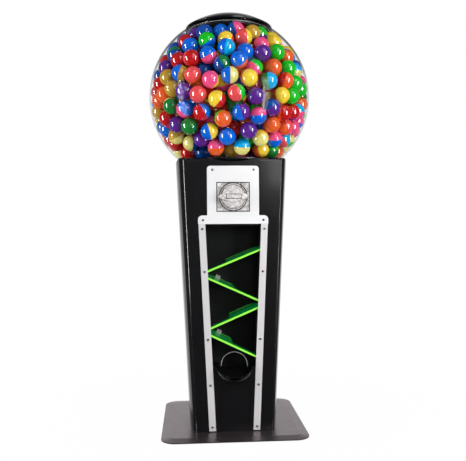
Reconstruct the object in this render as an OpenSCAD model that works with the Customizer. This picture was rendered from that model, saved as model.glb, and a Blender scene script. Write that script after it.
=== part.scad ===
// Free-standing capsule vendor: clear globe on a tapered cabinet, zig-zag ramps behind a window.
// Origin on the floor under the middle of the globe, +Z up, front towards -Y, millimetres.

/* [Base] */
// Side of the square base plate
base_w = 476; // [440:1:500]
// Corner radius of the base plate
base_corner_r = 48; // [30:1:70]
// Upright edge of the base plate
base_edge_h = 3; // [2:0.5:5]
// Thickness of the base plate at its middle
base_t = 7.5; // [6.5:0.5:12]
// Width of the sloping rim of the base plate
base_bevel_w = 31; // [20:1:40]
// Height of the rubber pads
pad_h = 2; // [1.5:0.5:4]
// Radius of the rubber pads
pad_r = 18; // [12:1:22]
// Distance of the outer pads from the centre lines
pad_pitch = 180; // [150:1:185]
// Thread radius of the base bolts
bolt_r = 4; // [3:0.5:5]
// Sideways distance of the base bolts from the centre
bolt_x = 112; // [95:1:120]
// Fore and aft distance of the base bolts from the centre
bolt_y = 92; // [70:1:100]

/* [Cabinet] */
// Height of the cabinet
body_h = 895.5; // [880:0.5:920]
// Width of the cabinet at its top
body_w = 378; // [370:1:390]
// How far each side runs in from top to bottom
side_taper = 43.5; // [35:0.5:48]
// Front face to the centre line
front_d = 156; // [153:1:160]
// Back face to the centre line
back_d = 158; // [154:1:166]
// Thickness of the cabinet wall
wall_t = 4; // [3:0.5:5]
// Radius of the rear corners in plan
rear_corner_r = 34; // [20:1:45]
// How far each side bows in towards the front
bow_depth = 9; // [4:0.5:12]
// Where the sides begin to bow in, behind the front face
bow_start = 96; // [80:1:110]
// Depth of the moulded front, front frame and panel together
front_part_d = 38; // [34:1:44]
// Width of the two shadow gaps in the front
groove_w = 3.5; // [2:0.5:4]
// Radius of the top edge at the sides
top_side_r = 16; // [8:1:20]
// Radius of the top edge at the front and back
top_front_r = 12; // [6:1:14]
// Radius of the bottom corners
bottom_r = 18; // [8:1:24]
// Thickness of the floor flange
floor_t = 5; // [4:0.5:8]
// Width of the floor flange
floor_w = 52; // [46:1:60]

/* [Front panel] */
// Half width of the front panel at its top
panel_half = 163.5; // [160:0.5:166]
// How far each edge of the front panel runs in from top to bottom
panel_taper = 37.5; // [33:0.5:40]
// Thickness of the front panel
panel_t = 8; // [7.5:0.5:9]
// Radius of the panel's front edges
panel_edge_r = 3.5; // [2:0.5:4]
// Depth of the recess for the metal trim
recess_d = 3; // [2.5:0.25:3.5]
// Half width of the recess above the flange of the coin plate
recess_half = 90; // [88:0.5:94]

/* [Metal trim] */
// Thickness of the coin plate and the strips
trim_t = 3.5; // [3:0.25:4.5]
// Half width of the upper coin plate
plate_half = 85; // [80:0.5:87]
// Half width of the flange of the coin plate
flange_half = 115; // [112:0.5:118]
// Height of the seam between coin plate and strips, above the cabinet floor
seam_h = 678; // [670:1:682]
// Height of the flange of the coin plate
flange_h = 28; // [24:1:32]
// Height of the whole coin plate
plate_h = 190; // [180:1:195]
// Corner radius at the top of the coin plate
plate_r = 11; // [6:1:16]
// Corner radius of the flange
flange_r = 14; // [8:1:18]
// Half width between the strips at the cabinet floor
strip_in = 61; // [58:0.5:63]
// How much further out the strips are at the seam
strip_spread = 30.7; // [28:0.1:32]
// Width of a strip
strip_w = 22; // [18:0.5:24]
// Gap between the strips and the cabinet floor
strip_lift = 3; // [1:0.5:6]
// Heights of the strip screws above the cabinet floor
screw_h = [15.5, 151.5, 300.5, 522]; // [10:0.5:560]
// Height of the topmost strip screws above the cabinet floor
screw_top_h = 661.5; // [650:0.5:668]
// Shank radius of the trim screws
screw_r = 1.9; // [1.5:0.1:2.2]
// Head radius of the trim screws
screw_head_r = 3.7; // [3:0.1:4.5]

/* [Window and outlet] */
// Thickness of the window
window_t = 3; // [2:0.5:3]
// Lower edge of the window above the cabinet floor
window_low_h = 211.5; // [205:0.5:215]
// Radius of the outlet
outlet_r = 43; // [38:0.5:46]
// Height of the outlet's centre above the cabinet floor
outlet_h = 215.5; // [212:0.5:219]
// Outer radius of the cup
cup_r = 62; // [58:0.5:64]
// Wall of the cup
cup_t = 3; // [2:0.5:5]
// Fall of the cup's rim for each millimetre forward
cup_rim_slope = 0.56; // [0.4:0.01:0.8]
// Half width of the thumb notch in the cup's rim
notch_half = 19; // [12:1:24]
// Depth of the thumb notch
notch_d = 9; // [5:1:12]
// Half width of the arch below the cup
arch_half = 50; // [44:1:52]
// Top of the arch above the cabinet floor
arch_h = 146; // [135:1:148]
// Depth of the arch
arch_d = 2.5; // [1:0.5:3]

/* [Ramps] */
// Upper ends of the four ramps above the cabinet floor
ramp_high = [594, 502, 403, 314.5]; // [300:0.5:610]
// Lower ends of the four ramps above the cabinet floor
ramp_low = [521, 424.5, 334, 239.5]; // [230:0.5:540]
// Share of each ramp's length that has its full depth
ramp_share = [0.62, 0.52, 0.57, 0.46]; // [0.4:0.01:0.7]
// Thickness of a ramp
ramp_t = 6; // [4:0.5:8]
// Full depth of a ramp
ramp_deep = 79; // [74:1:80]
// Depth of a ramp beside its notch
ramp_strip = 20; // [14:1:26]
// Lean of the ramps towards the window
ramp_lean = 5.5; // [0:0.5:7]
// Thickness of the sheet of the ramp housing
housing_t = 3; // [2:0.5:4]
// Depth of the ramp housing
housing_d = 85; // [84:1:90]
// Distance of the ramp housing's roof below the cabinet's top
housing_drop = 205.5; // [201.5:0.5:209.5]

/* [Coin mechanism] */
// Width of the mechanism's opening in the coin plate
mech_w = 110; // [106:1:112]
// Height of the mechanism's opening in the coin plate
mech_h = 97.5; // [94:0.5:100]
// Axis of the mechanism above the cabinet floor
mech_axis_h = 766.3; // [764:0.1:768]
// Radius of the raised boss
boss_r = 45; // [38:1:46]
// How far the boss stands out
boss_d = 9; // [6:0.5:14]
// Radius of the handle's disc
knob_r = 33; // [28:1:38]
// Span of the handle's two wings
wing_span = 99; // [90:1:108]
// How far the handle stands out from the boss
handle_d = 24; // [18:1:32]
// Radius of the mechanism's shaft
shaft_r = 8; // [6:0.5:9]
// Running clearance on radius of shafts and pins
run_gap = 0.05; // [0.02:0.01:0.09]
// Clearance between moving and fixed faces
face_gap = 0.5; // [0.3:0.1:1]
// Number of teeth of the pinion
pinion_teeth = 12; // [12:4:12]
// Turns of the handle for one turn of the wheel
gear_ratio = 6; // [6:1:6]
// Mean radius of the wheel's face gear
face_gear_r = 123.5; // [121:0.5:124]
// Face width of the gears
gear_w = 11; // [8:0.5:12]

/* [Dispenser] */
// Thickness of the dispensing wheel
wheel_t = 50; // [44:1:54]
// Radius of the dispensing wheel
wheel_r = 130; // [129.5:0.5:131]
// Radius of a pocket of the wheel
pocket_r = 31.5; // [30:0.5:32]
// Pitch radius of the pockets
pocket_pitch_r = 81; // [79:0.5:82]
// Number of pockets
pockets = 6; // [6:1:6]
// Bearing of the exit hole, from the right towards the front
exit_angle = 60; // [57:1:62]
// Radius of the exit hole
exit_r = 32; // [30:0.5:33]
// Wall of the drop chute
chute_t = 2.5; // [2:0.5:3]
// Wall of the dispenser well
well_t = 3.5; // [3:0.5:4]

/* [Globe and lid] */
// Outer radius of the globe
globe_r = 279.4; // [276:0.1:283]
// Wall of the globe
globe_t = 3; // [2:0.5:4]
// Radius of the dish where it reaches the cabinet's top
seat_r = 168.6; // [167:0.1:170]
// Radius of the globe's lower mouth
mouth_r = 134.5; // [133:0.5:140]
// Thickness of the gasket under the globe
gasket_t = 1.5; // [1:0.5:3]
// Radius of the globe's upper opening
neck_r = 140; // [136:1:143]
// Overlap of the neck ring on the globe
neck_lip = 4; // [3:0.5:6]
// Radius of the lid
lid_r = 152; // [150:0.5:156]
// Gap between the globe and the lid's rim
lid_gap = 5; // [4.5:0.1:7]
// Height of the lid's straight rim
lid_skirt = 5; // [4:0.5:8]
// Rise of the lid's dome above its rim
lid_rise = 47.1; // [44:0.1:52]
// Thickness of the lid
lid_t = 3; // [2:0.5:4]

/* [Capsules] */
// Diameter of a capsule
capsule_d = 56; // [52:0.5:58]
// Wall of a capsule
capsule_t = 1.4; // [1:0.1:2]
// Least gap between capsules
capsule_gap = 0.5; // [0.3:0.1:1.5]

/* [Service door and cash box] */
// Half width of the rear opening
door_open_half = 90; // [84:1:94]
// Lower edge of the rear opening above the cabinet floor
door_low_h = 330; // [300:5:360]
// Height of the rear opening
door_open_h = 430; // [380:5:440]
// Overlap of the door on the cabinet
door_lap = 10; // [8:1:14]
// Thickness of the door
door_t = 3; // [2:0.5:4]
// Radius of the hinge knuckles
knuckle_r = 5; // [4:0.5:6]
// Radius of the hinge pin
hinge_pin_r = 2.5; // [2:0.25:3]
// Radius of the lock barrels
barrel_r = 9.5; // [8:0.5:11]
// Radius of the lock plugs
plug_r = 6; // [5:0.5:7]
// Height of the cash shelf above the cabinet floor
shelf_h = 455; // [440:1:480]
// Width of the cash box
box_w = 150; // [120:1:160]
// Depth of the cash box
box_d = 128; // [100:1:140]
// Height of the cash box
box_h = 118; // [90:1:130]

/* [Hidden] */

$fn = 96;
eps = 0.01;
joint_gap = 0.2;      // fixed pieces that slip into each other
seat_gap = 0.3;       // faces of different bodies
far = 2 * body_w;     // a length that passes right through

base_top = pad_h + base_t;
body_top = base_top + body_h;
side_tilt = atan(side_taper / body_h);
panel_tilt = atan(panel_taper / body_h);
front_y = -front_d;
panel_back_y = front_y + panel_t;
side_front_y = front_y + front_part_d + groove_w;
bow_y = front_y + bow_start;
trim_y = front_y + recess_d - trim_t;   // face of the metal trim
recess_y = front_y + recess_d;          // floor of the recess
globe_z = body_top + sqrt(pow(globe_r, 2) - pow(seat_r, 2));
dish_r = globe_r + gasket_t;

function half_w(z) = body_w / 2 - side_taper * (body_top - z) / body_h;
function arc(cx, cy, r, a0, a1, n) =
    [for (i = [0:n]) let (a = a0 + (a1 - a0) * i / n) [cx + r * cos(a), cy + r * sin(a)]];
function bow(y) = y > bow_y ? 0 : bow_depth * pow((bow_y - y) / (bow_y - side_front_y), 2);
// Half the space between the strips
function strip_x(z) = strip_in + strip_spread * (z - base_top) / seam_h;

// A shape drawn across and up, standing from y0 to y1
module upright(y0, y1) {
    translate([0, y1, 0]) rotate([90, 0, 0]) linear_extrude(y1 - y0) children();
}
// A shape drawn along y and up, standing from x0 to x1
module sideways(x0, x1) {
    translate([x0, 0, 0]) rotate([90, 0, 90]) linear_extrude(x1 - x0) children();
}
// A rod along y
module rod_y(r, y0, y1, x = 0, z = 0) {
    translate([x, y1, z]) rotate([90, 0, 0]) cylinder(r = r, h = y1 - y0);
}
module block(lo, hi) { translate(lo) cube(hi - lo); }
// A plan outline given from the top edge outwards, run down along a leaning side, on both sides
module leaning(half_top, tilt, outline) {
    intersection_for (side = [0, 1]) mirror([side, 0, 0])
        translate([half_top, 0, body_top]) rotate([0, tilt, 0])
            translate([0, 0, -body_h - 30]) linear_extrude(body_h + 60) polygon(outline);
}
module rounded_rect(w, h, r) {
    for (x = [-1, 1]) for (y = [-1, 1]) translate([x * (w / 2 - r), y * (h / 2 - r)]) circle(r);
    square([w - 2 * r, h], center = true);
    square([w, h - 2 * r], center = true);
}

// Rounded outline that trims the top and bottom edges of everything in the cabinet
module body_clip() {
    zt = body_top - top_side_r;
    zb = base_top + bottom_r;
    xt = half_w(zt) - top_side_r / cos(side_tilt);
    xb = half_w(zb) - bottom_r;
    right_side = concat(arc(xb, zb, bottom_r, -90, 0, 8),
        [[xb + bottom_r + 20, zb], [body_w / 2 + 20, zt - top_side_r * sin(side_tilt)]],
        arc(xt, zt, top_side_r, -side_tilt, 90, 8));
    left_side = [for (i = [len(right_side) - 1:-1:0]) [-right_side[i][0], right_side[i][1]]];
    zf = body_top - top_front_r;
    profile = concat([[front_y - 40, base_top - 5], [back_d + 40, base_top - 5], [back_d + 40, zf]],
        arc(back_d - top_front_r, zf, top_front_r, 0, 90, 8),
        arc(front_y + top_front_r, zf, top_front_r, 90, 180, 8), [[front_y - 40, zf]]);
    intersection() {
        children();
        upright(-far / 2, far / 2) polygon(concat(right_side, left_side));
        sideways(-far / 2, far / 2) polygon(profile);
    }
}
module dish() { translate([0, 0, globe_z]) sphere(dish_r, $fn = 180); }

// Cabinet outline behind the front frame, drawn in by inset
function cabinet_plan(inset) = concat(
    [[-far, side_front_y - (inset > 0 ? 1 : 0)]],
    [for (i = [0:6]) let (y = side_front_y + (bow_y - side_front_y) * i / 6)
        [-bow(y) - inset, i == 0 && inset > 0 ? y - 1 : y]],
    arc(-rear_corner_r, back_d - rear_corner_r, rear_corner_r - inset, 0, 90, 8),
    [[-far, back_d - inset]]);
module cabinet_solid(inset) { leaning(body_w / 2, side_tilt, cabinet_plan(inset)); }

// ---------------------------------------------------------------- base
module bolt_places() {
    for (x = [-bolt_x, bolt_x]) for (y = [-bolt_y, bolt_y]) translate([x, y, 0]) children();
}
module base_plate() {
    corner = base_w / 2 - base_corner_r;
    color("dimgray") difference() {
        translate([0, 0, pad_h]) hull() {
            for (x = [-corner, corner]) for (y = [-corner, corner]) translate([x, y, 0]) {
                cylinder(r = base_corner_r, h = base_edge_h, $fn = 48);
                cylinder(r = base_corner_r - base_bevel_w, h = base_t, $fn = 48);
            }
        }
        bolt_places() translate([0, 0, pad_h - 1]) cylinder(r = bolt_r + run_gap, h = base_t + 2);
    }
}
module base_pads() {
    color("black") for (i = [-1:1]) for (j = [-1:1]) if (i != 0 || j != 0)
        translate([i * pad_pitch, j * pad_pitch, 0]) cylinder(r = pad_r, h = pad_h);
}
module base_bolts() {
    color("silver") bolt_places() translate([0, 0, pad_h + 1]) {
        cylinder(r = bolt_r, h = base_t - 1 + floor_t + eps);
        translate([0, 0, base_t - 1 + floor_t]) cylinder(r = 1.7 * bolt_r, h = 1.3 * bolt_r, $fn = 6);
    }
}

// ---------------------------------------------------------------- casing
door_z0 = base_top + door_low_h;
door_z1 = door_z0 + door_open_h;
module cabinet() {
    floor_z = base_top + floor_t;
    color([0.06, 0.06, 0.07]) difference() {
        union() {
            body_clip() difference() {
                cabinet_solid(0);
                cabinet_solid(wall_t);
            }
            body_clip() intersection() {
                cabinet_solid(wall_t / 2);
                block([-far, side_front_y + 3, base_top], [far, back_d, floor_z]);
            }
        }
        block([-half_w(base_top) + floor_w, side_front_y + floor_w - 20, base_top - 1],
            [half_w(base_top) - floor_w, back_d - floor_w, floor_z + 1]);
        bolt_places() translate([0, 0, base_top - 1]) cylinder(r = bolt_r + joint_gap, h = floor_t + 2);
        block([-door_open_half, back_d - wall_t - 1, door_z0], [door_open_half, back_d + 1, door_z1]);
        dish();
    }
}

// Front frame: the curved rails between the two grooves, with a tongue inside the cabinet
frame_back_y = front_y + front_part_d;
frame_edge = body_w / 2 - panel_half;
frame_wall = wall_t + joint_gap + 3;
frame_foot = frame_edge - bow_depth - groove_w / 6;
tongue_d = 14;
lip_t = 4;
lip_w = 26;
frame_bulge = 10;     // how far the rails swell between their edges
function frame_curve(inset) = [for (i = [0:6]) let (t = i / 6)
    [-frame_edge - inset + frame_foot * t + frame_bulge * t * (1 - t),
        panel_back_y + (frame_back_y - panel_back_y) * t]];
function frame_plan(inset, more) = concat(
    [[-far, panel_back_y - more], [-frame_edge - inset, panel_back_y - more]], frame_curve(inset),
    [[frame_foot - frame_edge - inset, frame_back_y + more], [-far, frame_back_y + more]]);
function tongue_plan(inset) = [[-far, frame_back_y - 2], [-bow_depth - inset, frame_back_y - 2],
    for (i = [0:3]) let (y = side_front_y + (tongue_d - groove_w) * i / 3) [-bow(y) - inset, y],
    [-far, side_front_y + tongue_d - groove_w]];
function hollow_plan() = [[-frame_wall - bow_depth, -far], [-frame_wall - bow_depth, frame_back_y + 2],
    for (i = [0:3]) let (y = frame_back_y + 2 + tongue_d * i / 3) [-bow(y) - frame_wall, y],
    [-far, 0], [-far, -far]];
function lip_plan(edge, more) = [[-far, panel_back_y - more], [edge, panel_back_y - more],
    [edge, panel_back_y + lip_t + more], [-far, panel_back_y + lip_t + more]];
module front_frame() {
    floor_z = base_top + floor_t;
    deck_z = deck_low - joint_gap;
    color([0.06, 0.06, 0.07]) body_clip() {
        difference() {
            leaning(body_w / 2, side_tilt, frame_plan(0, 0));
            difference() {
                leaning(body_w / 2, side_tilt, frame_plan(frame_wall, 1));
                block([-far, -far, 0], [far, frame_back_y + 2, floor_z]);
            }
        }
        difference() {
            leaning(body_w / 2, side_tilt, tongue_plan(wall_t + joint_gap));
            leaning(body_w / 2, side_tilt, hollow_plan());
            block([-far, -far, 0], [far, far, floor_z + joint_gap]);
            block([-far, -far, deck_z], [far, far, 2 * body_top]);
        }
        difference() {
            leaning(body_w / 2, side_tilt, lip_plan(-frame_edge - 1, 0));
            leaning(body_w / 2 - frame_edge - lip_w, side_tilt, lip_plan(0, 1));
            block([-far, -far, deck_z], [far, far, 2 * body_top]);
        }
    }
}

// Trapezium between the strips, widened by grow
module strip_field(z0, z1, grow) {
    polygon([[-strip_x(z0) - grow, z0], [strip_x(z0) + grow, z0],
        [strip_x(z1) + grow, z1], [-strip_x(z1) - grow, z1]]);
}
seam_z = base_top + seam_h;
strip_z = base_top + strip_lift;
flange_z = seam_z + flange_h;
plate_top_z = seam_z + plate_h;
mech_z = base_top + mech_axis_h;
window_z = base_top + window_low_h;
opening_lap = 4;      // the panel's opening, hidden by the strips
window_lap = 8;       // the window's edge under the strips
trim_slack = 3;       // recess beyond the trim
mech_ledge = 4;       // the panel's ledge behind the mechanism's plate

module front_panel() {
    outline = concat([[-far, panel_back_y], [-groove_w - 1, panel_back_y],
        [-groove_w - 1, panel_back_y - groove_w], [0, panel_back_y - groove_w]],
        arc(-panel_edge_r, front_y + panel_edge_r, panel_edge_r, 0, -90, 6), [[-far, front_y]]);
    strip_out = strip_w + trim_slack;
    color([0.06, 0.06, 0.07]) difference() {
        body_clip() leaning(panel_half, panel_tilt, outline);
        upright(front_y - 1, recess_y) {
            polygon([[-recess_half, flange_z - 10], [recess_half, flange_z - 10],
                [recess_half, body_top + 10], [-recess_half, body_top + 10]]);
            strip_field(base_top - 5, seam_z, strip_out);
            polygon([[-flange_half - trim_slack, seam_z - 1], [flange_half + trim_slack, seam_z - 1],
                [flange_half + trim_slack, flange_z + trim_slack],
                [-flange_half - trim_slack, flange_z + trim_slack]]);
        }
        upright(front_y, recess_y + window_t + joint_gap)
            strip_field(strip_z - 0.5, seam_z - 2, window_lap);
        upright(front_y, panel_back_y + 1) strip_field(strip_z + 12, seam_z - 6, opening_lap);
        upright(front_y, panel_back_y + 1) translate([0, mech_z])
            square([mech_w - 2 * mech_ledge, mech_h - 2 * mech_ledge], center = true);
        plate_screw_places() rod_y(screw_r + run_gap, front_y, panel_back_y + 1);
        strip_screw_places() rod_y(screw_r + run_gap, front_y, panel_back_y + 1);
        dish();
    }
}

deck_low = globe_z - sqrt(pow(dish_r, 2) - pow(mouth_r, 2)) - 8;
module top_deck() {
    color([0.08, 0.08, 0.09]) difference() {
        body_clip() intersection() {
            union() {
                cabinet_solid(wall_t + joint_gap);
                leaning(body_w / 2, side_tilt, concat([[-far, panel_back_y + joint_gap]],
                    [for (p = frame_curve(frame_wall + joint_gap))
                        [p[0], max(p[1], panel_back_y + joint_gap)]],
                    [[-bow_depth - frame_wall - joint_gap, side_front_y + 1],
                        [-far, side_front_y + 1]]));
            }
            block([-far, -far, deck_low], [far, far, body_top + 20]);
        }
        dish();
        cylinder(r = mouth_r, h = 2 * body_top);
    }
}

// ---------------------------------------------------------------- metal trim
module plate_screw_places() {
    for (x = [-1, 1]) {
        translate([x * (plate_half - 17.5), 0, plate_top_z - 13]) children();
        translate([x * (flange_half - 16), 0, seam_z + 12.5]) children();
    }
}
module strip_screw_places() {
    for (h = concat(screw_h, [screw_top_h])) for (x = [-1, 1])
        translate([x * (strip_x(base_top + h) + strip_w / 2), 0, base_top + h]) children();
}
head_h = 1.8;         // height of a screw's head
cross_w = 1;          // width of the cross cut into it
module trim_screw() {
    rod_y(screw_r, trim_y - eps, panel_back_y);
    translate([0, trim_y, 0]) rotate([90, 0, 0]) difference() {
        cylinder(r = screw_head_r, h = head_h);
        translate([0, 0, head_h + 0.7]) for (a = [0, 90]) rotate(a)
            cube([1.1 * screw_head_r, cross_w, 3], center = true);
    }
}
module coin_plate() {
    mid = (plate_top_z + flange_z) / 2;
    color("gainsboro") difference() {
        upright(trim_y, recess_y) {
            translate([0, mid - flange_r / 2])
                rounded_rect(2 * plate_half, plate_top_z - flange_z + flange_r, plate_r);
            translate([0, (seam_z + flange_z) / 2])
                square([2 * flange_half - 2 * flange_r, flange_h], center = true);
            translate([0, seam_z + (flange_h - flange_r) / 2])
                square([2 * flange_half, flange_h - flange_r], center = true);
            for (x = [-1, 1]) translate([x * (flange_half - flange_r), flange_z - flange_r])
                circle(flange_r);
        }
        upright(trim_y - 1, recess_y + 1) translate([0, mech_z])
            square([mech_w, mech_h], center = true);
        plate_screw_places() rod_y(screw_r + joint_gap, trim_y - 1, recess_y + 1);
    }
}
module plate_screws() { color("silver") plate_screw_places() trim_screw(); }
module strip() {
    color("silver") difference() {
        upright(trim_y, recess_y)
            polygon([[strip_x(strip_z), strip_z], [strip_x(strip_z) + strip_w, strip_z],
                [strip_x(seam_z) + strip_w, seam_z - 0.3], [strip_x(seam_z), seam_z - 0.3]]);
        strip_screw_places() rod_y(screw_r + joint_gap, trim_y - 1, recess_y + 1);
    }
}
module right_strip() { strip(); }
module left_strip() { mirror([1, 0, 0]) strip(); }
module strip_screws() { color("silver") strip_screw_places() trim_screw(); }

// ---------------------------------------------------------------- window and outlet
outlet_z = base_top + outlet_h;
module window() {
    color([0.8, 0.85, 0.85, 0.3]) difference() {
        upright(recess_y, recess_y + window_t) strip_field(window_z, seam_z - 2.3, window_lap - 0.3);
        rod_y(outlet_r, front_y, panel_back_y, 0, outlet_z);
        strip_screw_places() rod_y(screw_r + joint_gap, front_y, panel_back_y);
    }
}
cup_y = recess_y + window_t;
cup_lip_drop = cup_rim_slope * 0.76 * cup_r;   // fall of the rim at its foremost point
notch_r = (pow(notch_half, 2) + pow(notch_d, 2)) / (2 * notch_d);
arch_r = 20;          // corner radius of the arch below the cup
module outlet_panel() {
    rim_at = window_z - 0.3;
    color([0.07, 0.07, 0.07]) difference() {
        union() {
            difference() {
                union() {
                    upright(recess_y, cup_y) strip_field(strip_z, rim_at, window_lap - 0.3);
                    upright(front_y + 0.5, recess_y + eps) strip_field(strip_z, rim_at, -0.5);
                }
                upright(front_y - 1, front_y + 0.5 + arch_d) {
                    translate([0, base_top + arch_h - 3 * arch_r])
                        rounded_rect(2 * arch_half, 6 * arch_r, arch_r);
                    polygon([[-arch_half + 6, strip_z - 1], [arch_half - 6, strip_z - 1],
                        [arch_half, base_top + arch_h - 4.5 * arch_r],
                        [-arch_half, base_top + arch_h - 4.5 * arch_r]]);
                }
            }
            difference() {
                translate([0, cup_y, outlet_z]) sphere(cup_r);
                block([-far, cup_y, 0], [far, far, far * 2]);
                block([-far, -far, rim_at], [far, far, far * 2]);
                translate([0, front_y, rim_at]) rotate([atan(cup_rim_slope), 0, 0])
                    block([-far, -far, 0], [far, far, far]);
                upright(-far, cup_y - 0.6 * cup_r)
                    translate([0, rim_at - cup_lip_drop - notch_d + notch_r]) circle(notch_r);
            }
        }
        translate([0, cup_y, outlet_z]) sphere(cup_r - cup_t);
        strip_screw_places() rod_y(screw_r + joint_gap, front_y, panel_back_y);
    }
}

// ---------------------------------------------------------------- ramps
housing_z1 = body_top - housing_drop;
housing_z0 = outlet_z - outlet_r - 14;
housing_back = panel_back_y + housing_d;
module housing_room(shrink) {
    upright(panel_back_y + shrink, housing_back - housing_t - shrink)
        strip_field(housing_z0, housing_z1 - housing_t, opening_lap - shrink);
}
drop_top = [pocket_pitch_r * cos(exit_angle), -pocket_pitch_r * sin(exit_angle)];
drop_low = [50, panel_back_y + housing_d / 2 - 1];
module ramp_housing() {
    color([0.05, 0.05, 0.05]) difference() {
        upright(panel_back_y, housing_back)
            strip_field(housing_z0, housing_z1, opening_lap + housing_t);
        upright(panel_back_y - 1, housing_back - housing_t)
            strip_field(housing_z0 - 1, housing_z1 - housing_t, opening_lap);
        drop_bore(exit_r + chute_t + joint_gap);
    }
}
function ramp_high_z(i) = base_top + ramp_high[i];
function ramp_low_z(i) = base_top + ramp_low[i];
function ramp_x(z) = strip_x(z) + opening_lap;
function ramp_run(i) = ramp_x(ramp_high_z(i)) + ramp_x(ramp_low_z(i));
function ramp_fall(i) = atan((ramp_high_z(i) - ramp_low_z(i)) / ramp_run(i));
function ramp_len(i) = ramp_run(i) / cos(ramp_fall(i));
ramp_corner_r = 26;
ramp_notch_r = 10;
// Puts a piece on ramp i: x down the slope from its upper end, y to the back, z off its top face
module on_ramp(i) {
    mirror([i % 2 == 0 ? 1 : 0, 0, 0])
        translate([-ramp_x(ramp_high_z(i)), panel_back_y + joint_gap + 1, ramp_high_z(i)])
            rotate([0, ramp_fall(i), 0]) rotate([ramp_lean, 0, 0]) children();
}
module ramp(i) {
    full = ramp_share[i] * ramp_len(i);
    outline = concat([[-12, 0], [ramp_len(i) + 12, 0], [ramp_len(i) + 12, ramp_strip]],
        arc(full + ramp_notch_r, ramp_strip + ramp_notch_r, ramp_notch_r, -90, -180, 5),
        arc(full - ramp_notch_r, ramp_deep - ramp_notch_r, ramp_notch_r, 0, 90, 5),
        arc(ramp_corner_r, ramp_deep - ramp_corner_r, ramp_corner_r, 90, 180, 6),
        [[-12, ramp_deep - ramp_corner_r]]);
    color([0.3, 0.9, 0.2, 0.6]) intersection() {
        on_ramp(i) translate([0, 0, -ramp_t / 2]) linear_extrude(ramp_t) polygon(outline);
        housing_room(joint_gap);
    }
}
module ramp_1() { ramp(0); }
module ramp_2() { ramp(1); }
module ramp_3() { ramp(2); }
module ramp_4() { ramp(3); }
clip_w = 16;
clip_h = 9;
clip_lap = 14;        // how far a clip reaches under a ramp
module clip(i, share, z) {
    translate([share * ramp_share[i] * ramp_len(i), 0, 0])
        block([-clip_w / 2, ramp_deep - clip_lap, z], [clip_w / 2, ramp_deep + clip_lap, z + clip_h]);
}
module ramp_clips() {
    color("gainsboro") for (i = [0:3]) intersection() {
        on_ramp(i) {
            clip(i, 0.45, -ramp_t / 2 - clip_h);
            clip(i, 0.85, -ramp_t / 2 - clip_h);
            if (i % 2 == 1) clip(i, 0.38, ramp_t / 2);
        }
        housing_room(0);
    }
}
tray_fall = 22;
tray_t = 3;
tray_rim = 14;
tray_side = 4;      // from the outlet's edge to the tray's raised sides
module outlet_chute() {
    floor_z = outlet_z - outlet_r;
    tilt = atan(tray_fall / housing_d);
    color([0.05, 0.05, 0.05]) intersection() {
        translate([0, panel_back_y, floor_z]) rotate([tilt, 0, 0]) difference() {
            block([-far, -10, -tray_t], [far, 1.5 * housing_d, tray_rim]);
            block([-outlet_r - tray_side, -11, 0], [outlet_r + tray_side, 2 * housing_d, 2 * tray_rim]);
        }
        housing_room(0);
        block([-far, panel_back_y + joint_gap, 0], [far, far, body_top]);
    }
}

// ---------------------------------------------------------------- coin mechanism
pinion_r = face_gear_r / gear_ratio;
tooth_pitch = 2 * PI * pinion_r / pinion_teeth;
tooth_half = 0.2 * tooth_pitch;
addendum = 0.22 * tooth_pitch;
dedendum = 0.34 * tooth_pitch;
gear_z = mech_z + pinion_r;              // pitch plane of the face gear
boss_y = recess_y - window_t - boss_d;   // face of the boss
mech_face_y = recess_y - window_t;
mech_back_y = panel_back_y + 11.5;
mech_body_low = 38;
mech_body_high = 30;
mech_wall = 3.5;
pinion_y = -face_gear_r;
handle_y = boss_y - seat_gap;
drum_r = 20;
wing_r = 9;

module mech_plate() {
    slot_w = 3;
    color("silver") difference() {
        union() {
            upright(mech_face_y, recess_y) translate([0, mech_z])
                square([mech_w - 2, mech_h - 2], center = true);
            rod_y(boss_r, boss_y, mech_face_y + eps, 0, mech_z);
        }
        rod_y(shaft_r + run_gap, boss_y - 1, recess_y + 1, 0, mech_z);
        upright(boss_y - 1, boss_y + 1.2) translate([0, mech_z]) for (r = [knob_r + 1, boss_r - 4.5])
            difference() { circle(r + 2); circle(r); }
        block([boss_r * 0.55, boss_y - 1, mech_z + boss_r * 0.45],
            [boss_r * 0.55 + slot_w, recess_y + 1, mech_z + boss_r * 0.45 + 27]);
    }
}
module mech_body() {
    low = mech_z - mech_body_low;
    color("gray") difference() {
        block([-mech_body_low, recess_y, low], [mech_body_low, mech_back_y, mech_z + mech_body_high]);
        rod_y(drum_r + 4, recess_y + mech_wall, mech_back_y - mech_wall, 0, mech_z);
        rod_y(shaft_r + run_gap, recess_y - 1, mech_back_y + 1, 0, mech_z);
        block([-14, recess_y + mech_wall, low - 1], [14, mech_back_y - mech_wall, mech_z - 10]);
    }
}
disc_front_y = handle_y - 0.45 * handle_d;
wing_front_y = handle_y - 0.6 * handle_d;
shaft_front_y = handle_y - 0.7 * handle_d;
dome_r = 0.62 * knob_r;   // raised middle of the handle
dome_lift = 2;            // how far it sits above the axis
module coin_handle() {
    tip_r = 0.6 * wing_r;
    tip = wing_span / 2 - tip_r;
    color("whitesmoke") difference() {
        union() {
            rod_y(knob_r, disc_front_y, handle_y, 0, mech_z);
            hull() {
                rod_y(dome_r, handle_y - handle_d, handle_y - 2, 0, mech_z + dome_lift);
                for (x = [-tip, tip]) rod_y(tip_r, wing_front_y, handle_y - 3, x, mech_z);
            }
        }
        rod_y(shaft_r, shaft_front_y, handle_y + 1, 0, mech_z);
    }
}
module mech_shaft() {
    color("silver") {
        rod_y(shaft_r, shaft_front_y, pinion_y + gear_w / 2, 0, mech_z);
        rod_y(drum_r, recess_y + mech_wall + face_gap, mech_back_y - mech_wall - face_gap, 0, mech_z);
    }
}
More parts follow.
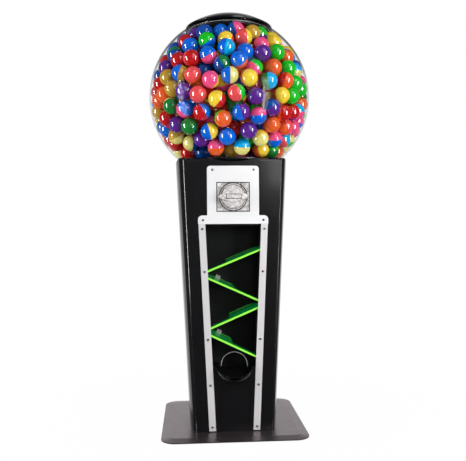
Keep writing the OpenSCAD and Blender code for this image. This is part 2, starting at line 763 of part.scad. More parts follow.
module drive_pinion() {
    root = pinion_r - dedendum;
    tip = pinion_r + addendum;
    color("goldenrod") difference() {
        union() {
            rod_y(root, pinion_y - gear_w / 2, pinion_y + gear_w / 2, 0, mech_z);
            upright(pinion_y - gear_w / 2, pinion_y + gear_w / 2) translate([0, mech_z])
                for (i = [0:pinion_teeth - 1]) rotate(i * 360 / pinion_teeth)
                    polygon([[-1.45 * tooth_half, root - 1], [1.45 * tooth_half, root - 1],
                        [0.62 * tooth_half, tip], [-0.62 * tooth_half, tip]]);
        }
        rod_y(shaft_r, -face_gear_r - gear_w, -face_gear_r + gear_w, 0, mech_z);
    }
}
chute_turn = 25;
chute_slope = 15;
coin_chute_l = 90;
module coin_chute() {
    start = [0, recess_y + 9, mech_z - mech_body_low - 6];
    foot_at = 70;
    color("gray") {
        intersection() {
            translate(start) rotate([0, 0, chute_turn]) rotate([-chute_slope, 0, 0]) difference() {
                block([-17, -14, -2], [17, coin_chute_l, 15]);
                block([-15, -12, 0], [15, coin_chute_l + 10, 20]);
            }
            block([-far, panel_back_y, 0], [far, far, mech_z - mech_body_low]);
        }
        intersection() {
            translate([start[0], start[1], 0]) rotate([0, 0, chute_turn])
                block([-10, foot_at - 5, housing_z1], [10, foot_at + 5, start[2]]);
            translate(start) rotate([0, 0, chute_turn]) rotate([-chute_slope, 0, 0])
                block([-17, 0, -60], [17, coin_chute_l, -1]);
        }
    }
}
shelf_z = base_top + shelf_h;
module cash_shelf() {
    color("gray") intersection() {
        cabinet_solid(wall_t);
        union() {
            block([-far, housing_back, shelf_z], [far, back_d - 50, shelf_z + 3]);
            block([-far, back_d - 53, shelf_z], [far, back_d - 50, shelf_z + 18]);
            block([-60, housing_back, shelf_z], [60, housing_back + 3, shelf_z + 25]);
        }
    }
}
module cash_box() {
    x = box_w / 2;
    y0 = housing_back + 12;
    z0 = shelf_z + 3;
    color("silver") difference() {
        block([-x, y0, z0], [x, y0 + box_d, z0 + box_h]);
        block([-x + 2, y0 + 2, z0 + 2], [x - 2, y0 + box_d - 2, z0 + box_h + 1]);
    }
}

// ---------------------------------------------------------------- dispenser
wheel_z = gear_z + dedendum;                 // underside of the wheel's rim
wheel_top_z = wheel_z + wheel_t;
well_in_r = wheel_r + 1.5;
gear_in_r = face_gear_r - gear_w / 2;
trough_z = gear_z - addendum - 2;            // floor of the gear's trough
face_teeth = pinion_teeth * gear_ratio;
axle_r = 8;
module dispensing_wheel() {
    tip = gear_z - addendum;
    color("white") difference() {
        union() {
            translate([0, 0, wheel_z]) cylinder(r = wheel_r, h = wheel_t);
            intersection() {
                for (i = [0:face_teeth - 1]) rotate((i + 0.5) * 360 / face_teeth - 90)
                    sideways(gear_in_r - 2, gear_in_r + gear_w + 2)
                        polygon([[-1.45 * tooth_half, wheel_z + 1], [1.45 * tooth_half, wheel_z + 1],
                            [0.62 * tooth_half, tip], [-0.62 * tooth_half, tip]]);
                difference() {
                    translate([0, 0, tip - 1]) cylinder(r = gear_in_r + gear_w, h = 20);
                    translate([0, 0, tip - 2]) cylinder(r = gear_in_r, h = 22);
                }
            }
        }
        for (i = [0:pockets - 1]) rotate(-exit_angle + (i + 0.5) * 360 / pockets)
            translate([pocket_pitch_r, 0, wheel_z - 10]) cylinder(r = pocket_r, h = wheel_t + 20);
        translate([0, 0, wheel_z - 1]) cylinder(r = axle_r + run_gap, h = wheel_t + 2);
        translate([0, 0, wheel_top_z - 3]) difference() {
            cylinder(r = wheel_r - 4, h = 4);
            translate([0, 0, -1]) cylinder(r = wheel_r - 10, h = 6);
        }
    }
}
floor_r = gear_in_r - 1.5;
well_rim = 9;        // flange of the well under the deck
well_low = trough_z - well_t;
module dispenser_well() {
    disc_z = wheel_z - face_gap;
    low = trough_z - well_t;
    out = well_in_r + well_t;
    color([0.1, 0.1, 0.1]) difference() {
        rotate_extrude() polygon([[0, low], [out, low], [out, deck_low - well_t],
            [out + well_rim, deck_low - well_t], [out + well_rim, deck_low], [well_in_r, deck_low],
            [well_in_r, trough_z], [floor_r, trough_z], [floor_r, disc_z], [0, disc_z]]);
        translate([0, 0, low - 1]) cylinder(r = axle_r - 2, h = 60);
        translate([drop_top[0], drop_top[1], low - 1]) cylinder(r = exit_r, h = 60);
        block([-pinion_r - addendum - 2, pinion_y - gear_w / 2 - 1.5, mech_z],
            [pinion_r + addendum + 2, pinion_y + gear_w / 2 + 1, gear_z + 1]);
    }
}
bolt_head_r = 11;     // across the corners, half
bolt_head_h = 6;
module wheel_axle() {
    disc_z = wheel_z - face_gap;
    color("silver") {
        translate([0, 0, well_low - bolt_head_h]) cylinder(r = bolt_head_r, h = bolt_head_h, $fn = 6);
        translate([0, 0, well_low - eps])
            cylinder(r = axle_r - 2 - joint_gap, h = disc_z - well_low + 2 * eps);
        translate([0, 0, disc_z]) cylinder(r = axle_r, h = wheel_t + 2 * face_gap);
        translate([0, 0, disc_z]) cylinder(r = axle_r - 2, h = wheel_t + 20);
    }
}
module axle_nut() {
    color("silver") translate([0, 0, wheel_top_z + face_gap]) difference() {
        cylinder(r = 13, h = 9, $fn = 6);
        translate([0, 0, -1]) cylinder(r = axle_r - 2 + run_gap, h = 12);
    }
}
module agitator() {
    hub_r = 24;
    color("silver") translate([0, 0, wheel_top_z]) difference() {
        union() {
            cylinder(r = hub_r, h = 3);
            for (a = [0:120:240]) rotate(a + 90) translate([hub_r - 5, 0, 0]) {
                cylinder(r = 3, h = 16);
                translate([0, 0, 16]) sphere(3.5);
            }
        }
        translate([0, 0, -1]) cylinder(r = 16, h = 6);
    }
}
guard_z = wheel_top_z + 3;
guard_t = 2.5;
guard_in_r = 34;      // clear of the nut and the agitator's hub
guard_span = 37;      // half the angle that the guard covers
brush_w = 8;
brush_turn = 30;      // bearing of each brush from the exit hole
module exit_guard() {
    reach = far * cos(guard_span);
    side = far * sin(guard_span);
    color("gray") intersection() {
        difference() {
            translate([0, 0, guard_z]) cylinder(r = well_in_r, h = guard_t);
            translate([0, 0, guard_z - 1]) cylinder(r = guard_in_r, h = guard_t + 2);
        }
        rotate(-exit_angle) translate([0, 0, guard_z - 1]) linear_extrude(guard_t + 2)
            polygon([[0, 0], [reach, -side], [far, 0], [reach, side]]);
    }
}
module exit_brush() {
    color("black") rotate(-exit_angle) for (s = [-1, 1]) rotate(s * brush_turn)
        translate([0, 0, wheel_top_z + face_gap])
            block([pocket_pitch_r - exit_r - 1, -brush_w / 2, 0],
                [pocket_pitch_r + exit_r - 1, brush_w / 2, guard_z - wheel_top_z - face_gap]);
}
// Slanting bore from the exit hole to the ramps
module drop_bore(r) {
    z1 = well_low;
    lean = [drop_low[0] - drop_top[0], drop_low[1] - drop_top[1], housing_z1 - z1];
    run = sqrt(pow(lean[0], 2) + pow(lean[1], 2));
    translate([drop_top[0], drop_top[1], z1]) rotate([0, 0, atan2(lean[1], lean[0])])
        rotate([0, 180 - atan2(run, -lean[2]), 0]) translate([0, 0, -60])
            cylinder(r = r, h = norm(lean) + 120);
}
module drop_chute() {
    color([0.1, 0.1, 0.1]) intersection() {
        difference() {
            union() {
                drop_bore(exit_r + chute_t);
                translate([drop_top[0], drop_top[1], well_low - 3]) cylinder(r = exit_r + 7, h = 3);
            }
            drop_bore(exit_r);
        }
        block([-far, -far, housing_z1 - housing_t], [far, far, well_low]);
    }
}

// ---------------------------------------------------------------- globe
module ball(r) { translate([0, 0, globe_z]) sphere(r, $fn = 180); }
module globe() {
    color([0.9, 0.95, 1, 0.2]) difference() {
        ball(globe_r);
        ball(globe_r - globe_t);
        translate([0, 0, globe_z - globe_r - 5]) cylinder(r = mouth_r, h = globe_r);
        translate([0, 0, globe_z]) cylinder(r = neck_r, h = globe_r + 5);
    }
}
module globe_gasket() {
    color("black") intersection() {
        difference() {
            ball(dish_r);
            ball(globe_r);
        }
        difference() {
            translate([0, 0, deck_low]) cylinder(r = mouth_r + 16, h = 60);
            translate([0, 0, deck_low - 1]) cylinder(r = mouth_r, h = 62);
        }
    }
}
ring_t = 3;
ring_reach = 26;
module globe_ring() {
    inner = globe_r - globe_t;
    color([0.08, 0.08, 0.08]) difference() {
        intersection() {
            ball(inner);
            translate([0, 0, deck_low + 1]) cylinder(r = mouth_r + ring_reach, h = 80);
        }
        ball(inner - ring_t);
        translate([0, 0, deck_low - 1]) cylinder(r = mouth_r - 4, h = 100);
    }
}
lid_low = globe_z + sqrt(pow(globe_r, 2) - pow(lid_r, 2)) + lid_gap;
lid_top = lid_low + lid_skirt + lid_rise;
lid_curve_r = (pow(lid_r, 2) + pow(lid_rise, 2)) / (2 * lid_rise);
// The solid of the lid's shape, made smaller all round by an inset
module lid_solid(inset) {
    intersection() {
        translate([0, 0, lid_top - lid_curve_r]) sphere(lid_curve_r - inset, $fn = 180);
        translate([0, 0, lid_low]) cylinder(r = lid_r - inset, h = lid_skirt + lid_rise + 1);
    }
}
neck_t = 8;
ledge_w = 6;
bridge_z = globe_z + sqrt(pow(globe_r, 2) - pow(neck_r, 2)) - 10;
module neck_ring() {
    tube_r = neck_r - joint_gap;
    color([0.07, 0.07, 0.07]) {
        difference() {
            intersection() {
                translate([0, 0, bridge_z]) cylinder(r = neck_r + neck_lip, h = 60);
                union() {
                    lid_solid(lid_t + seat_gap);
                    block([-far, -far, 0], [far, far, lid_low + 1]);
                }
            }
            difference() {
                ball(globe_r);
                translate([0, 0, bridge_z - 1]) cylinder(r = tube_r, h = 60);
            }
            translate([0, 0, bridge_z - 1]) cylinder(r = tube_r - neck_t, h = 62);
        }
        translate([0, 0, bridge_z - 6]) difference() {
            cylinder(r = tube_r, h = 6 + eps);
            translate([0, 0, -1]) cylinder(r = tube_r - neck_t - ledge_w, h = 8);
        }
    }
}
bridge_w = 34;
slot_l = 46;
slot_w = 15;
module lid_bridge() {
    reach = neck_r - joint_gap - neck_t;
    color("silver") difference() {
        intersection() {
            translate([0, 0, bridge_z]) cylinder(r = reach, h = 3);
            block([-reach - 5, -bridge_w / 2, bridge_z], [reach + 5, bridge_w / 2, bridge_z + 3]);
        }
        block([-slot_l / 2, -slot_w / 2, bridge_z - 1], [slot_l / 2, slot_w / 2, bridge_z + 4]);
    }
}

// ---------------------------------------------------------------- lid
lock_head = 2.6;
lock_low = bridge_z + 6;
module lid() {
    color([0.05, 0.05, 0.06]) difference() {
        union() {
            difference() {
                lid_solid(0);
                translate([0, 0, -eps]) lid_solid(lid_t);
            }
            intersection() {
                translate([0, 0, lid_top - 20]) cylinder(r = barrel_r + 6, h = 30);
                lid_solid(1);
            }
        }
        translate([0, 0, globe_z]) cylinder(r = barrel_r, h = lid_top + 10 - globe_z);
    }
}
module lid_lock_barrel() {
    color("silver") difference() {
        union() {
            translate([0, 0, lock_low]) cylinder(r = barrel_r, h = lid_top - lock_low + eps);
            translate([0, 0, lid_top]) cylinder(r = barrel_r + 4, h = lock_head);
        }
        translate([0, 0, lock_low - 1]) cylinder(r = plug_r + run_gap, h = lid_top + lock_head);
    }
}
module key_slot() { cube([1.6, 6, 4], center = true); }
cam_t = 3;
cam_w = 10;
module lid_lock_plug() {
    low = bridge_z - seat_gap - 0.7;
    color("silver") difference() {
        translate([0, 0, low]) cylinder(r = plug_r, h = lid_top + lock_head - 0.4 - low);
        translate([0, 0, lid_top + lock_head]) key_slot();
    }
}
module lid_lock_cam() {
    top = bridge_z - seat_gap - 0.7;
    color("silver") block([-slot_l / 2 + 3, -cam_w / 2, top - cam_t], [slot_l / 2 - 3, cam_w / 2, top]);
}

// ---------------------------------------------------------------- service door
door_half = door_open_half + door_lap;
door_y = back_d + seat_gap;
hinge_x = -door_half - knuckle_r - 1;
hinge_y = back_d + knuckle_r + seat_gap;
lock_x = door_open_half - 18;
lock_z = (door_z0 + door_z1) / 2;
knuckle_n = 5;
knuckle_gap = 0.5;
knuckle_len = (door_open_h - knuckle_gap * (knuckle_n - 1)) / knuckle_n;
function knuckle_z(i) = door_z0 + i * (knuckle_len + knuckle_gap);
module knuckle(i) {
    translate([hinge_x, hinge_y, knuckle_z(i)]) cylinder(r = knuckle_r, h = knuckle_len);
}
module hinge_bore(gap) {
    translate([hinge_x, hinge_y, door_z0 - 2]) cylinder(r = hinge_pin_r + gap, h = door_open_h + 4);
}
module leaf(i, x0, x1, y0, y1) { block([x0, y0, knuckle_z(i)], [x1, y1, knuckle_z(i) + knuckle_len]); }
module rear_door() {
    color([0.07, 0.07, 0.08]) difference() {
        union() {
            block([-door_half, door_y, door_z0 - door_lap],
                [door_half, door_y + door_t, door_z1 + door_lap]);
            for (i = [1, 3]) {
                knuckle(i);
                leaf(i, hinge_x, -door_half + 1, door_y + 0.6, door_y + door_t);
            }
        }
        hinge_bore(run_gap);
        rod_y(barrel_r, door_y - 1, door_y + door_t + 1, lock_x, lock_z);
    }
}
module door_hinge() {
    leaf_w = 12;
    leaf_t = 2;
    color("silver") difference() {
        union() for (i = [0, 2, 4]) {
            knuckle(i);
            leaf(i, hinge_x - knuckle_r - leaf_w, hinge_x, back_d, back_d + leaf_t);
        }
        hinge_bore(0);
    }
}
module hinge_pin() { color("gray") hinge_bore(0); }
module door_lock_barrel() {
    color("silver") difference() {
        union() {
            rod_y(barrel_r, door_y - 4, door_y + door_t + eps, lock_x, lock_z);
            rod_y(barrel_r + 3, door_y + door_t, door_y + door_t + 3, lock_x, lock_z);
        }
        rod_y(plug_r + run_gap, door_y - 10, door_y + door_t + 10, lock_x, lock_z);
    }
}
door_cam_y = back_d - wall_t - 1;
door_cam_half = 7;
door_cam_l = 32;
module door_lock_plug() {
    color("silver") difference() {
        rod_y(plug_r, door_cam_y, door_y + door_t + 2.6, lock_x, lock_z);
        translate([lock_x, door_y + door_t + 2.6, lock_z]) rotate([90, 0, 0]) key_slot();
    }
}
module door_lock_cam() {
    color("silver") block([lock_x - door_cam_half, door_cam_y - cam_t, lock_z - door_cam_half],
        [lock_x + door_cam_half, door_cam_y, lock_z + door_cam_l]);
}

// ---------------------------------------------------------------- capsules
pitch = capsule_d + capsule_gap;
heap_r = globe_r - globe_t - ring_t - capsule_d / 2 - 0.8;
heap_top = bridge_z - 6 - capsule_d / 2 - seat_gap - globe_z;
heap_low = body_top + 2 - globe_z;
heap_shells = floor(heap_r / pitch) + 1;
function shell_r(s) = heap_r - s * pitch;
function chord(r) = r > pitch / 2 ? 2 * asin(pitch / 2 / r) : 180;
function ring_count(r) = r > pitch / 2 ? floor(360 / chord(r)) : 1;
heap_start = acos(heap_top / heap_r);   // polar angle that a ring of every shell lies at
// Capsule centres: touching rings on concentric shells, all joined along one line at the back
centres = [for (s = [0:heap_shells - 1])
        let (r = shell_r(s), step = chord(r), top = heap_top >= r ? 0 : acos(heap_top / r) - eps,
            low = heap_low <= -r ? 180 : acos(heap_low / r))
    for (j = [-floor((heap_start - top) / step):floor((low - heap_start) / step)])
        let (a = heap_start + j * step, ring = r * sin(a), m = ring_count(ring),
            side = j % 2 == 0 ? 1 : -1)
    for (k = [0:m - 1]) let (turn = 90 + side * k * chord(ring))
        [ring * cos(turn), ring * sin(turn), r * cos(a)]];
tints = rands(0, 6, len(centres), 5);
module capsules(tint, shade) {
    color(shade) for (i = [0:len(centres) - 1]) if (floor(tints[i]) == tint)
        translate(centres[i] + [0, 0, globe_z]) difference() {
            sphere(capsule_d / 2, $fn = 32);
            sphere(capsule_d / 2 - capsule_t, $fn = 32);
        }
}
module capsules_blue() { capsules(0, [0.05, 0.4, 0.85]); }
module capsules_red() { capsules(1, [0.8, 0.1, 0.1]); }
module capsules_green() { capsules(2, [0.1, 0.75, 0.15]); }
module capsules_yellow() { capsules(3, [0.98, 0.82, 0.2]); }
module capsules_pink() { capsules(4, [0.95, 0.35, 0.5]); }
module capsules_purple() { capsules(5, [0.38, 0.16, 0.55]); }

base_plate();
base_pads();
base_bolts();
cabinet();
front_frame();
front_panel();
coin_plate();
plate_screws();
left_strip();
right_strip();
strip_screws();
window();
outlet_panel();
outlet_chute();
ramp_housing();
ramp_1();
ramp_2();
ramp_3();
ramp_4();
ramp_clips();
mech_plate();
mech_body();
coin_handle();
mech_shaft();
drive_pinion();
coin_chute();
cash_box();
cash_shelf();
drop_chute();
dispenser_well();
dispensing_wheel();
wheel_axle();
axle_nut();
agitator();
exit_guard();
exit_brush();
top_deck();
globe_gasket();
globe();
globe_ring();
neck_ring();
lid_bridge();
lid();
lid_lock_barrel();
lid_lock_plug();
lid_lock_cam();
rear_door();
door_hinge();
hinge_pin();
door_lock_barrel();
door_lock_plug();
door_lock_cam();
capsules_blue();
capsules_red();
capsules_green();
capsules_yellow();
capsules_pink();
capsules_purple();
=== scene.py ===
import math
import random

import bmesh
import bpy
import numpy as np
from mathutils import Matrix, Vector


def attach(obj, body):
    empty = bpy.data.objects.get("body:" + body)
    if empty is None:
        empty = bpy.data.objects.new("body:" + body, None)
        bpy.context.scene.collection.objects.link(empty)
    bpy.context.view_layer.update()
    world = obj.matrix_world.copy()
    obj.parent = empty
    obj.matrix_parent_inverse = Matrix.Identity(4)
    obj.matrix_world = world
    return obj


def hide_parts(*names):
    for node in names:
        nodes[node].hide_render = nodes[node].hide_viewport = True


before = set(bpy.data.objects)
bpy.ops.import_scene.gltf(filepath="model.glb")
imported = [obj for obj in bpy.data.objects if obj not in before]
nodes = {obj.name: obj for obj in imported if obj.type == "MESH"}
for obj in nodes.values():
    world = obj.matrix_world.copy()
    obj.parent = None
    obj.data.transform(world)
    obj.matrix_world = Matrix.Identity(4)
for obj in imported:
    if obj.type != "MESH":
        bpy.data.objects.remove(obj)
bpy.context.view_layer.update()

# ---- The view
# A camera standing a little to the left of the machine, just below the middle of its height,
# and looking level at it from two metres away.
VIEW_WIDE = 466
FOCAL = 604.1  # in points of the view
MIDDLE_X, MIDDLE_Y = 233.0, 230.5
EYE = Vector((-0.1384, -2.1258, 0.6604))
ROUND, UP, ROLL = -3.984, 0.157, 0.433  # degrees
look = (
    Matrix.Rotation(math.radians(ROUND), 3, "Z")
    @ Matrix.Rotation(math.radians(UP), 3, "X")
    @ Matrix.Rotation(math.radians(ROLL), 3, "Y")
    @ Matrix.Rotation(math.radians(90), 3, "X")
)
lens = bpy.data.cameras.new("view_camera")
lens.sensor_width = 36.0
lens.lens = FOCAL * lens.sensor_width / VIEW_WIDE
camera = bpy.data.objects.new("view_camera", lens)
camera.matrix_world = Matrix.Translation(EYE) @ look.to_4x4()
bpy.context.scene.collection.objects.link(camera)
bpy.context.scene.camera = camera
bpy.context.scene.view_settings.view_transform = "Standard"


def sight(x, y):
    """The direction from the eye through a place in the view."""
    return (look @ Vector((x - MIDDLE_X, MIDDLE_Y - y, -FOCAL))).normalized()


# ---- The studio
# White paper all round and a white floor that keeps a trace of the machine's shadow. Broad
# lamps light the machine from both sides, from above and from the front, and two narrow
# ones only show in its shine. In that shine the room is dark in front and white behind.
LEFT_LAMP = dict(at=(-2.27, -0.79, 1.0), size=(0.6, 1.9), power=34.0)
RIGHT_LAMP = dict(at=(1.71, -1.69, 1.0), size=(0.6, 1.9), power=30.0)
TOP_LAMP = dict(at=(0.9, -2.3, 2.7), size=(1.3, 1.3), power=16.0)
FRONT_LAMP = dict(at=(0.95, -3.1, 1.5), size=(0.9, 0.9), power=7.5)
LEFT_STRIP = dict(at=(-2.25, -0.78, 1.02), size=(0.4, 1.75), power=72.0)
RIGHT_STRIP = dict(at=(1.7, -1.68, 1.02), size=(0.4, 1.75), power=72.0)


class Shade:
    """A value in a finish. Sums and products of it add their Math nodes."""

    def __init__(self, tree, socket=None):
        self.tree, self.socket = tree, socket

    def make(self, kind, settings=(), sockets=(), out=0):
        node = self.tree.nodes.new("ShaderNode" + kind)
        for name, value in dict(settings).items():
            setattr(node, name, value)
        for name, value in dict(sockets).items():
            if isinstance(value, Shade):
                self.tree.links.new(value.socket, node.inputs[name])
            else:
                node.inputs[name].default_value = value
        return Shade(self.tree, node.outputs[out] if node.outputs else None)

    def sum(self, operation, first, second=0.0):
        return self.make("Math", {"operation": operation}, {0: first, 1: second})

    def rise(self, low, high):
        """0 where this is at low, 1 where it is at high, and even between them."""
        return self.make("MapRange", sockets={"Value": self, "From Min": low, "From Max": high})

    def along(self, axis):
        """The part of this direction or place along an axis."""
        return self.make("SeparateXYZ", sockets={0: self}, out=axis)

    def __add__(self, other):
        return self.sum("ADD", self, other)

    def __mul__(self, other):
        return self.sum("MULTIPLY", self, other)

    def __pow__(self, other):
        return self.sum("POWER", self, other)

    __radd__ = __add__
    __rmul__ = __mul__

    def feed(self, shader, name):
        self.tree.links.new(self.socket, shader.inputs[name])


def finish(name, colour, roughness, **sockets):
    """A material, its main shader with plain values, and a Shade to draw on it with."""
    material = bpy.data.materials.new(name)
    material.use_nodes = True
    shader = material.node_tree.nodes["Principled BSDF"]
    shader.inputs["Base Color"].default_value = (*colour, 1)
    shader.inputs["Roughness"].default_value = roughness
    for socket, value in sockets.items():
        shader.inputs[socket.replace("_", " ")].default_value = value
    return material, shader, Shade(material.node_tree)


def lamp(name, at, size, power, towards=(0, 0, 0.8), lights=True, shines=True):
    """A soft lamp, which lights things, shows in their shine, or both."""
    light = bpy.data.lights.new(name, "AREA")
    light.shape = "RECTANGLE"
    light.size, light.size_y = size
    light.energy = power
    made = bpy.data.objects.new(name, light)
    made.matrix_world = Matrix.Translation(at) @ (
        (Vector(at) - Vector(towards)).to_track_quat("Z", "Y").to_matrix().to_4x4()
    )
    made.visible_diffuse, made.visible_glossy = lights, shines
    bpy.context.scene.collection.objects.link(made)


lamp("left_lamp", towards=(0, 0, 1.0), shines=False, **LEFT_LAMP)
lamp("right_lamp", towards=(0, 0, 1.0), shines=False, **RIGHT_LAMP)
lamp("top_lamp", **TOP_LAMP)
lamp("front_lamp", towards=(0.3, 0, 1.0), **FRONT_LAMP)
lamp("left_strip_lamp", towards=(0, 0, 1.0), lights=False, **LEFT_STRIP)
lamp("right_strip_lamp", towards=(0, 0, 1.0), lights=False, **RIGHT_STRIP)

world = bpy.data.worlds.new("white_paper")
bpy.context.scene.world = world
world.use_nodes = True
world.node_tree.nodes.clear()
sky = Shade(world.node_tree)


def ray(shade, kind):
    """1 for the rays of that kind, else 0."""
    return shade.make("LightPath", out=kind)


WHITE = (1, 1, 1, 1)
ROOM_LIGHT = 0.45
DARK_ROOM, DARK_FLOOR = 0.07, 0.05
BACK_FROM, BACK_TO = 0.72, 0.92  # how far a direction points back where the shine turns white
room = sky.make("Background", sockets={"Color": WHITE, "Strength": ROOM_LIGHT})
paper = sky.make("Background", sockets={"Color": WHITE, "Strength": 1.0})
dark = sky.make("Background", sockets={"Color": WHITE, "Strength": DARK_ROOM})
behind = sky.make("TexCoord").along("Y").rise(BACK_FROM, BACK_TO)
mirrored = sky.make("MixShader", sockets={0: behind, 1: dark, 2: paper})
lit = sky.make("MixShader", sockets={0: ray(sky, "Is Glossy Ray"), 1: room, 2: mirrored})
seen = sky.sum("MAXIMUM", ray(sky, "Is Camera Ray"), ray(sky, "Is Transmission Ray"))
shown = sky.make("MixShader", sockets={0: seen, 1: lit, 2: paper})
sky.make("OutputWorld", sockets={"Surface": shown})

FLOOR_R = 3.0
SHADOW_FROM, SHADOW_TO = 0.4, 1.2  # where the kept shadow fades out
KEPT_SHADOW = 0.02
form = bmesh.new()
bmesh.ops.create_circle(form, cap_ends=True, segments=96, radius=FLOOR_R)
mesh = bpy.data.meshes.new("floor")
form.to_mesh(mesh)
form.free()
floor = bpy.data.objects.new("floor", mesh)
bpy.context.scene.collection.objects.link(floor)
floor_paper, shader, draw = finish("floor_paper", (0.8, 0.8, 0.8), 0.9)
spot = draw.make("TexCoord", out="Object")
far_out = draw.make("VectorMath", {"operation": "LENGTH"}, {0: spot}, out="Value")
edge = far_out.rise(SHADOW_FROM, SHADOW_TO)
glow = draw.make("Emission", sockets={"Color": WHITE, "Strength": 1.0})
dim = draw.make("Emission", sockets={"Color": WHITE, "Strength": DARK_FLOOR})
behind = draw.make("NewGeometry", out="Incoming").along("Y").rise(-BACK_FROM, -BACK_TO)
mirrored = draw.make("MixShader", sockets={0: behind, 1: dim, 2: glow})
paper = Shade(draw.tree, shader.outputs[0])
paper = draw.make("MixShader", sockets={0: ray(draw, "Is Glossy Ray"), 1: paper, 2: mirrored})
seen = draw.sum("MAXIMUM", ray(draw, "Is Camera Ray"), ray(draw, "Is Transmission Ray"))
share = seen * (1.0 - KEPT_SHADOW + KEPT_SHADOW * edge)
shown = draw.make("MixShader", sockets={0: share, 1: paper, 2: glow})
draw.tree.links.new(shown.socket, draw.tree.nodes["Material Output"].inputs["Surface"])
mesh.materials.append(floor_paper)

# ---- Base plate, pads and bolts
# A square steel plate with rounded corners and a sloping rim, in a smooth black powder coat.
# It stands on rubber pads, and four bolts hold the cabinet down on it.
BLACK = (0.004, 0.004, 0.005)


def dress(material, *names):
    """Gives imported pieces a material."""
    for name in names:
        node = nodes[name]
        if not node.material_slots:
            node.data.materials.append(material)
        for place in node.material_slots:
            place.material = material


def piece(name, form, material, slot, body="machine", stands_for=(), smooth=None):
    """An object made of a bmesh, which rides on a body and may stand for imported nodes."""
    mesh = bpy.data.meshes.new(name)
    form.to_mesh(mesh)
    form.free()
    if smooth is not None:
        mesh.polygons.foreach_set("use_smooth", [True] * len(mesh.polygons))
        mesh.set_sharp_from_angle(angle=math.radians(smooth))
    for one in material if isinstance(material, (list, tuple)) else [material]:
        mesh.materials.append(one)
    made = bpy.data.objects.new(name, mesh)
    bpy.context.scene.collection.objects.link(made)
    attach(made, body)
    if stands_for:
        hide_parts(*stands_for)
    return made


def grain(draw, scale, detail=2.0, stretch=(1, 1, 1)):
    """Noise on a piece, so many blotches to the metre, drawn out along its axes."""
    place = draw.make("TexCoord", out="Object")
    place = draw.make("Mapping", sockets={"Vector": place, "Scale": stretch})
    return draw.make("TexNoise", sockets={"Vector": place, "Scale": scale, "Detail": detail})


def bump(draw, shader, height, depth, strength=1.0):
    """Raises a finish by depth metres where height is 1."""
    raised = draw.make("Bump", sockets={"Height": height, "Distance": depth, "Strength": strength})
    raised.feed(shader, "Normal")


powder_black, shader, draw = finish("powder_black", (0.014, 0.011, 0.012), 0.3, IOR=1.85)
shader.inputs["Specular IOR Level"].default_value = 1.0
shader.inputs["Specular Tint"].default_value = (1.0, 0.84, 0.9, 1)
(0.26 + 0.1 * grain(draw, 40)).feed(shader, "Roughness")
bump(draw, shader, grain(draw, 900, 1), 0.00003)
dress(powder_black, "base_plate")
rubber_black, shader, draw = finish("rubber_black", (0.015, 0.015, 0.015), 0.8)
bump(draw, shader, grain(draw, 1500, 2), 0.00005)
dress(rubber_black, "base_pads", "globe_gasket")
zinc_steel, shader, draw = finish("zinc_steel", (0.55, 0.56, 0.57), 0.35, Metallic=1.0)
(0.28 + 0.2 * grain(draw, 90)).feed(shader, "Roughness")
dress(zinc_steel, "base_bolts", "wheel_axle", "axle_nut", "agitator", "hinge_pin", "door_hinge")
dress(zinc_steel, "coin_chute", "cash_shelf", "cash_box")

# ---- Cabinet, moulded front and deck
# A tapered one-piece cabinet in gloss black, with a moulded frame and panel let into its
# front, divided by two shadow gaps, and a deck on top that carries the globe.
gloss_black, shader, draw = finish(
    "gloss_black", BLACK, 0.2, Coat_Weight=0.35, Coat_Roughness=0.08
)
(0.16 + 0.12 * grain(draw, 14)).feed(shader, "Roughness")
bump(draw, shader, grain(draw, 260, 1), 0.00004)
dress(gloss_black, "front_panel", "top_deck", "rear_door")
clear_black, shader, draw = finish("clear_black", BLACK, 0.08, Coat_Weight=0.2)
(0.05 + 0.07 * grain(draw, 12)).feed(shader, "Roughness")
bump(draw, shader, grain(draw, 8, 1), 0.0003)
dress(clear_black, "cabinet", "front_frame")

# ---- Metal trim
# A satin white plate round the coin mechanism and two brushed strips beside the window, all
# let into the front and held by small round-headed screws.
white_steel, shader, draw = finish("white_steel", (0.8, 0.8, 0.81), 0.42, Metallic=0.2)
(0.36 + 0.14 * grain(draw, 500, 3, (0.04, 1, 1))).feed(shader, "Roughness")
dress(white_steel, "coin_plate")
brushed_steel, shader, draw = finish("brushed_steel", (0.72, 0.7, 0.71), 0.38, Metallic=0.25)
(0.26 + 0.2 * grain(draw, 700, 3, (1, 1, 0.02))).feed(shader, "Roughness")
bump(draw, shader, grain(draw, 900, 2, (1, 1, 0.02)), 0.00003)
dress(brushed_steel, "left_strip", "right_strip", "lid_bridge")
screw_steel, shader, draw = finish("screw_steel", (0.42, 0.42, 0.44), 0.22, Metallic=1.0)
(0.16 + 0.2 * grain(draw, 300)).feed(shader, "Roughness")
dress(screw_steel, "plate_screws", "strip_screws")

# ---- Window, outlet and ramps
# A clear sheet closes the front over four fluorescent green ramps in a black housing. Below
# it a moulded panel carries the round outlet and its cup.
clear_window = bpy.data.materials.new("clear_window")
clear_window.use_nodes = True
clear_window.node_tree.nodes.clear()
draw = Shade(clear_window.node_tree)


def clear_sheet(draw, tint):
    """A clear sheet: it passes light straight through and mirrors more at a glancing angle."""
    glance = draw.make("LayerWeight", sockets={"Blend": 0.5}, out="Facing")
    through = draw.make("BsdfTransparent", sockets={"Color": (*tint, 1)})
    mirror = draw.make("BsdfGlossy", sockets={"Color": (1, 1, 1, 1), "Roughness": 0.03})
    return draw.make("MixShader", sockets={0: 0.003 + 0.3 * glance**5, 1: through, 2: mirror})


